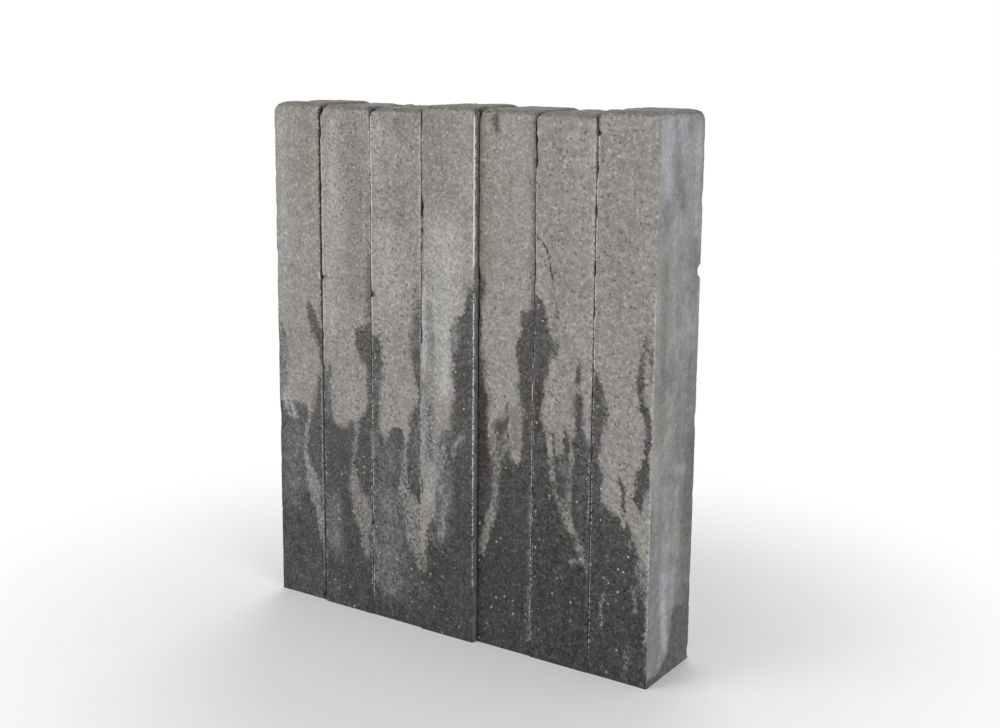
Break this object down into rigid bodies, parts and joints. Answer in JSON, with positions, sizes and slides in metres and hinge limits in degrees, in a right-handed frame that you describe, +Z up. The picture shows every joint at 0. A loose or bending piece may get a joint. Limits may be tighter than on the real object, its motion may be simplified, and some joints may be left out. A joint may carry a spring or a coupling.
{
  "type": "palisade block",
  "caption": "Block of rectangular precast concrete palisades standing tight side by side, with crowned tops, for garden edging and low retaining walls.",
  "frame": {"origin": "middle of the row's foot, on the ground", "axes": "+Z up along the palisades, X along the row from left to right, the weathered front faces -Y"},
  "size_m": [0.8448, 0.177, 1.005],
  "materials": {
    "concrete": "matte"
  },
  "bodies": {
    "root": {"palisade_1": "concrete", "palisade_2": "concrete", "palisade_3": "concrete", "palisade_4": "concrete", "palisade_5": "concrete", "palisade_6": "concrete", "palisade_7": "concrete"}
  },
  "joints": []
}
